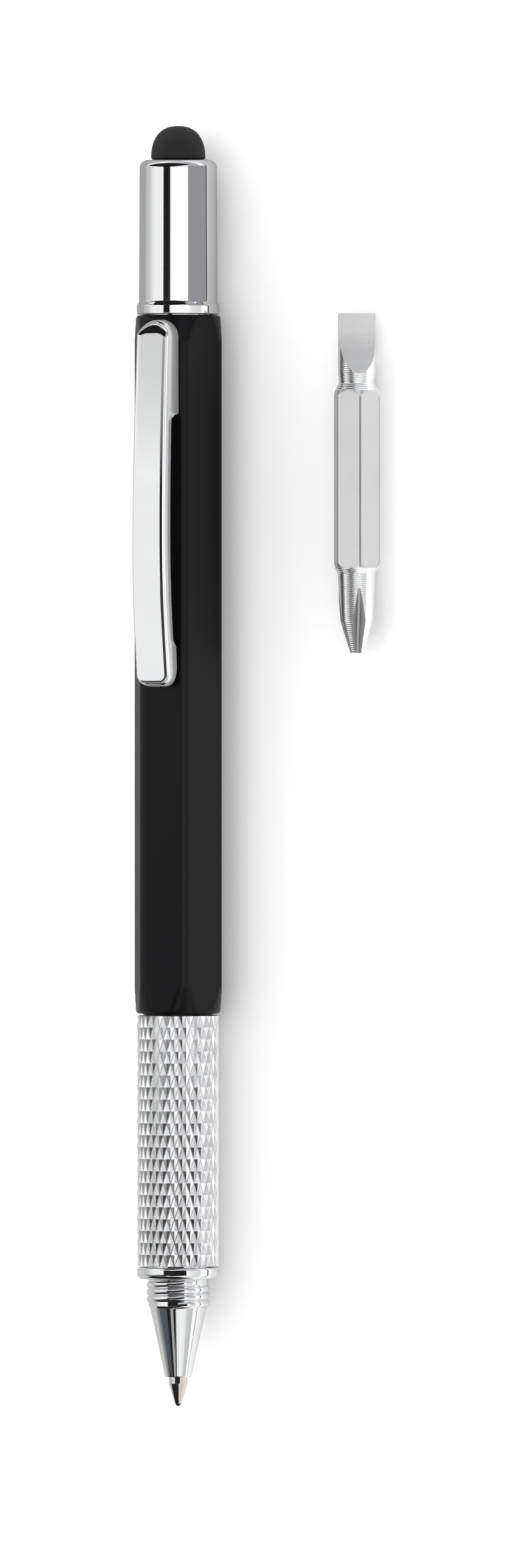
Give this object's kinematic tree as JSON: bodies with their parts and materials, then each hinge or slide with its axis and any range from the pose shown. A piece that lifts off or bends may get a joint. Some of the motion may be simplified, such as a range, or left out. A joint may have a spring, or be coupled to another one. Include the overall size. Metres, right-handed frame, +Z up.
{
  "type": "multi tool pen",
  "caption": "Six-sided twist ball pen with a stylus cap, a spring clip, a knurled grip and a loose double-ended screwdriver bit that stores in its barrel.",
  "frame": {"origin": "middle of the barrel's flat that the pen lies on, half way along the barrel", "axes": "+Y along the pen from the writing point to the stylus, +Z up through the clip, +X to the side where the loose bit lies"},
  "size_m": [0.0299, 0.15, 0.0142],
  "materials": {
    "black_lacquer": "satin",
    "bright_chrome": "polished",
    "bit_steel": "bead blasted, with a ground blade",
    "inner_steel": "plain",
    "point_metal": "warm nickel",
    "inner_brass": "plain",
    "stylus_rubber": "matte",
    "washer_rubber": "matte",
    "liner_plastic": "moulded",
    "mechanism_plastic": "moulded",
    "ink": "liquid"
  },
  "bodies": {
    "barrel": {"barrel": "black_lacquer", "bit_holder": "bright_chrome", "holder_magnet": "inner_steel", "cam_tube": "mechanism_plastic", "friction_washer": "washer_rubber"},
    "cap": {"cap_shell": "bright_chrome", "cap_liner": "liner_plastic", "stylus_tip": "stylus_rubber", "stylus_post": "inner_brass"},
    "clip": {"clip": "bright_chrome"},
    "grip": {"grip_sleeve": "bright_chrome", "drive_tube": "inner_brass", "retaining_ring": "inner_steel"},
    "refill": {"refill_tube": "inner_steel", "ink_column": "ink", "refill_point": "point_metal", "writing_ball": "inner_steel", "refill_carrier": "mechanism_plastic"},
    "nose": {"nose_cone": "bright_chrome"},
    "bit": {"screwdriver_bit": "bit_steel"}
  },
  "joints": [
    {"name": "cap_lift", "type": "slide", "parent": "barrel", "child": "cap", "axis": [0, 1, 0], "range_m": [0, 0.03]},
    {"name": "clip_flex", "type": "hinge", "parent": "barrel", "child": "clip", "pos_m": [0, 0.0379, 0.00925], "axis": [-1, 0, 0], "range_deg": [0, 3], "stiffness_Nm_per_rad": 1.2},
    {"name": "grip_twist", "type": "hinge", "parent": "barrel", "child": "grip", "pos_m": [0, -0.0558, 0.00485], "axis": [0, 1, 0], "range_deg": [0, 180]},
    {"name": "refill_slide", "type": "slide", "parent": "grip", "child": "refill", "axis": [0, 1, 0], "range_m": [0, 0.005]},
    {"name": "nose_unscrew", "type": "slide", "parent": "grip", "child": "nose", "axis": [0, -1, 0], "range_m": [0, 0.03]},
    {"name": "bit_lift", "type": "slide", "parent": "barrel", "child": "bit", "axis": [0, 0, 1], "range_m": [0, 0.05]}
  ],
  "couplings": [
    {"joint": "refill_slide", "follows": "grip_twist", "m_per_rad": 0.0015915}
  ]
}
